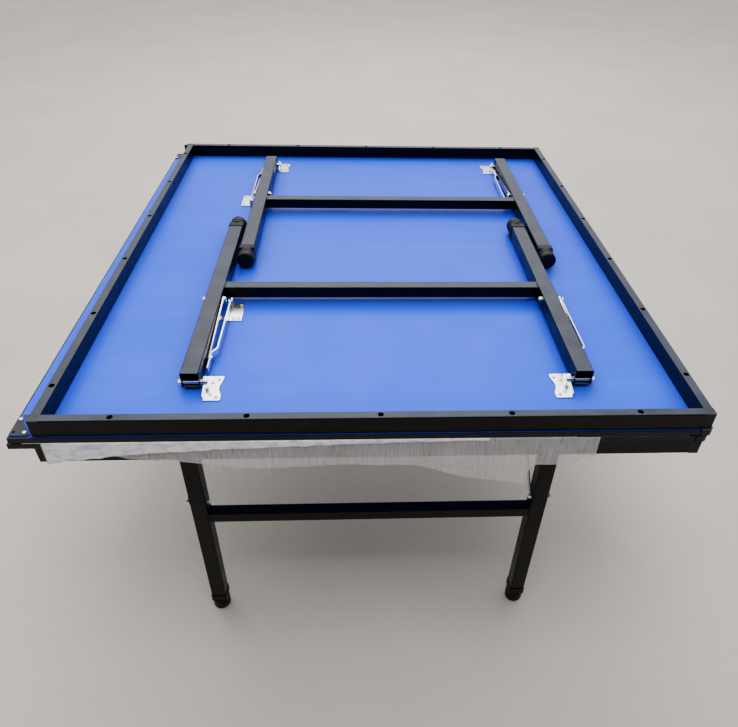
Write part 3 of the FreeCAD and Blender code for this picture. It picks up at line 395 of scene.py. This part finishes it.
FILM_X = np.array([63, 78, 109, 148, 200, 224, 261, 316, 359, 400, 430, 492, 555, 604, 679,
                   769, 811, 855, 895, 955, 1011, 1016, 1023, 1034, 1071, 1098, 1140, 1149])
FILM_DROP = np.array([50, 44, 36, 37, 35, 42, 47, 50, 58, 64, 68, 71, 66, 65, 66,
                      68, 75, 90, 104, 115, 126, 92, 77, 72, 75, 74, 55, 46])
FOAM_X = np.array([64, 109, 165, 189, 266, 341, 388, 485, 582, 679, 767, 870, 929])
FOAM_DROP = np.array([52, 40, 37, 32, 25, 22, 17.5, 14, 10, 6.5, 4, 2.2, 1.6])


def flap_bulge(x, drop):
    """How far a hanging sheet stands forward of the board's edge, in mm.

    b = d^1.3 / 90 * (1 + 0.5 sin(x / 61) + 0.35 sin(x / 23 + 2)) + ribs, where d is the drop
    in mm, and ribs = 0.12 min(d / 12, 1) (sin(x / 4.9) + sin(x / 8.7 + sin(x / 37))).
    """
    swell = 1 + 0.5 * np.sin(x / 61) + 0.35 * np.sin(x / 23 + 2)
    ribs = np.sin(x / 4.9) + np.sin(x / 8.7 + np.sin(x / 37))
    return drop ** 1.3 / 90 * swell + 0.12 * np.minimum(drop / 12, 1) * ribs


def draped(name, knots, drops, lie, proud, long, tear, reach, material):
    """A sheet that lies between the boards and hangs over the front edge.

    lie is its height over the playing face and proud its distance from the board's edge, in
    mm; reach is how far its flat part goes along the net-to-end direction. Columns between
    the first and last knot run back for long mm, turn over the edge in a quarter round of
    radius proud, and hang to the drop read from the knots plus a torn edge
    tear * (sin(x / 11) sin(x / 27) + 0.5 sin(x / 6.3)). The other columns stop at the edge.
    """
    column_step = 3.0
    x = np.arange(reach[0], reach[1] + column_step / 2, column_step)
    hangs = (x >= knots[0]) & (x <= knots[-1])
    torn = tear * (np.sin(x / 11) * np.sin(x / 27) + 0.5 * np.sin(x / 6.3))
    shortest = 1.2
    depth = np.maximum(np.interp(x, knots, drops) + torn, shortest)
    back = np.concatenate([np.linspace(long, 60, 14), np.linspace(45, 0.5, 6)])
    rows = [np.stack([x, 0 * x + y, 0 * x + lie], axis=-1) for y in back]
    sink = (proud + lie) * 0.5
    for angle in np.linspace(0, math.pi / 2, 5)[1:]:
        y = -proud * math.sin(angle)
        z = lie - sink * (1 - math.cos(angle))
        rows.append(np.stack([x, 0 * x + y, 0 * x + z], axis=-1))
    for share in np.linspace(0, 1, 25)[1:]:
        drop = depth * share
        rows.append(np.stack([x, -proud - flap_bulge(x, drop), lie - sink - drop], axis=-1))
    points = np.stack(rows) * 0.001 + np.array([NET, FRONT, FACE])
    columns = len(x)
    faces = [face for face in grid_faces(len(rows), columns)
             if face[2] // columns < len(back)
             or all(hangs[corner % columns] for corner in face)]
    used, numbers = np.unique(np.array(faces), return_inverse=True)
    sheet = mesh_object(name, points.reshape(-1, 3)[used], numbers.reshape(-1, 4).tolist(),
                        material, "lower_half")
    area = float(np.trapz(long + (proud + depth) * hangs, x)) * 1e-6
    return sheet, area


def film_material():
    """Thin clouded film: mostly clear, whiter along its pulled vertical ribs."""
    material, tree, surface, place = new_material("clouded_film")
    ribs = noise(tree, place, 0.004, 3.0, (1, 1, 0.06))
    clouds = noise(tree, place, 0.05, 3.0)
    body = spread(tree, ribs, 0.27, 0.41, 0.35, 0.7)
    cloudy = spread(tree, clouds, -0.03, 0.05)
    cover = math_node(tree, "ADD", body, cloudy)
    set_inputs(tree, surface, Base_Color=linear("E6E7EC"), Roughness=0.35, IOR=1.5,
               Alpha=cover)
    bump(tree, surface, ribs, 0.00012)
    return material


def foam_material():
    """White cellular foam: crumpled skin with small round cells and a soft gloss.

    A faint glow stands in for the light that spreads inside the foam.
    """
    material, tree, surface, place = new_material("white_foam_skin")
    cells_per_metre = 420.0
    cells = add_node(tree, "TexVoronoi", {"Vector": place, "Scale": cells_per_metre})
    creases = noise(tree, place, 0.012, 4.0, (0.5, 1, 1))
    # painted shade: the foam's colour darkens in its creases
    shade = spread(tree, creases, 0, 1, 0.32, 0.6)
    colour = blend(tree, shade, linear("C6CADC"), linear("F8F9FF"))
    height = math_node(tree, "ADD", cells.outputs["Distance"], creases)
    set_inputs(tree, surface, Base_Color=colour, Roughness=0.5, IOR=1.4,
               Subsurface_Weight=0.2, Subsurface_Radius=(0.002, 0.002, 0.002),
               Emission_Color=colour, Emission_Strength=0.13)
    bump(tree, surface, height, 0.0012)
    return material


def thicken(sheet, thick):
    """Gives a sheet its real thickness."""
    skin = sheet.modifiers.new("skin", "SOLIDIFY")
    skin.thickness = thick
    skin.offset = 0


film, film_area = draped("polyethylene_film", FILM_X, FILM_DROP, lie=0.5, proud=0.7,
                         long=1480, tear=0.7, reach=(27, 1333), material=film_material())
thicken(film, thick=0.00012)
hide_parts("foam_sheet")

foam, foam_area = draped("foam_interleaf", FOAM_X, FOAM_DROP, lie=1.6, proud=2.0,
                         long=1450, tear=0.9, reach=(30, 1100), material=foam_material())
thicken(foam, thick=0.0009)

# ------------------------------------------------------------------------------- stage
# A plain pale concrete floor under an even bright sky, as in an open yard.


def floor():
    """A large flat floor with a faint trowelled mottle."""
    material, tree, surface, place = new_material("pale_floor")
    broad = noise(tree, place, 0.7, 4.0)
    fine = noise(tree, place, 0.02, 6.0)
    colour = blend(tree, spread(tree, broad, 0, 1), linear("C8C0B5"), linear("D2CABF"))
    colour = blend(tree, spread(tree, fine, 0, 0.25, 0.55, 0.75), colour, linear("B8B0A5"))
    set_inputs(tree, surface, Base_Color=colour, Roughness=0.75)
    bump(tree, surface, fine, 0.0006)
    mesh = bpy.data.meshes.new("floor")
    wide = 14
    corners = [(-wide, -wide, 0), (wide, -wide, 0), (wide, wide, 0), (-wide, wide, 0)]
    mesh.from_pydata(corners, [], [(0, 1, 2, 3)])
    mesh.materials.append(material)
    made = bpy.data.objects.new("floor", mesh)
    made.location.z = -0.0005
    bpy.context.scene.collection.objects.link(made)


def sky():
    """An overcast sky, bright overhead and behind the table, dim in front of it.

    The backdrop itself is shown at one even strength.
    """
    backdrop = 0.75
    high_at_back = (0, 0.6, 0.8)
    world = bpy.data.worlds.new("overcast")
    bpy.context.scene.world = world
    world.use_nodes = True
    tree = world.node_tree
    place = add_node(tree, "TexCoord").outputs["Generated"]
    lean = add_node(tree, "VectorMath", {0: place, 1: high_at_back}, operation="DOT_PRODUCT")
    rise = lean.outputs["Value"]
    share = spread(tree, rise, 0, 1, 0.0, 0.7)
    colour = blend(tree, share, linear("FFF3E4"), linear("F8FAFF"))
    power = spread(tree, rise, 0.06, 2.0, 0.2, 1.0)
    seen = add_node(tree, "LightPath").outputs["Is Camera Ray"]
    shown = add_node(tree, "Mix", {0: seen, 2: power, 3: backdrop}, data_type="FLOAT")
    background = tree.nodes["Background"]
    tree.links.new(colour, background.inputs["Color"])
    tree.links.new(shown.outputs[0], background.inputs["Strength"])


def soft_light(name, place, aim, size, power):
    """A large soft area light."""
    lamp = bpy.data.lights.new(name, "AREA")
    lamp.size = size
    lamp.energy = power
    made = bpy.data.objects.new(name, lamp)
    made.location = place
    made.rotation_euler = (Vector(aim) - Vector(place)).to_track_quat("-Z", "Y").to_euler()
    bpy.context.scene.collection.objects.link(made)


floor()
sky()
soft_light("sky_light", place=(-1.5, 2.5, 4.5), aim=(0, 0, 0.7), size=3.5, power=90)
soft_light("front_light", place=(0, -1.3, 3.3), aim=(0, -0.77, 0.75), size=1.3, power=45)
soft_light("yard_light", place=(0.6, 4.6, 4.5), aim=(0.6, 4.4, 0), size=3.5, power=190)

# ------------------------------------------------------------------------------ camera
# A short lens at standing height in front of the table, tipped well down.


def camera(place, pitch, yaw, roll, lens, shift):
    """A camera tipped down by pitch, turned right by yaw and rolled, in degrees."""
    pitch, yaw, roll = [math.radians(angle) for angle in (pitch, yaw, roll)]
    ahead = Vector((math.sin(yaw) * math.cos(pitch), math.cos(yaw) * math.cos(pitch),
                    -math.sin(pitch)))
    right = Vector((math.cos(yaw), -math.sin(yaw), 0))
    up = right.cross(ahead)
    rolled_right = right * math.cos(roll) + up * math.sin(roll)
    rolled_up = up * math.cos(roll) - right * math.sin(roll)
    data = bpy.data.cameras.new("camera")
    data.sensor_fit = "HORIZONTAL"
    data.sensor_width = 36
    data.lens = lens
    data.shift_x, data.shift_y = shift
    made = bpy.data.objects.new("camera", data)
    turn = Matrix((rolled_right, rolled_up, -ahead)).transposed().to_4x4()
    made.matrix_world = Matrix.Translation(Vector(place)) @ turn
    bpy.context.scene.collection.objects.link(made)
    bpy.context.scene.camera = made


camera(place=(-0.0287, -1.6606, 1.6437), pitch=37.626, yaw=3.669, roll=1.891,
       lens=31.27, shift=(-0.0234, -0.0004))
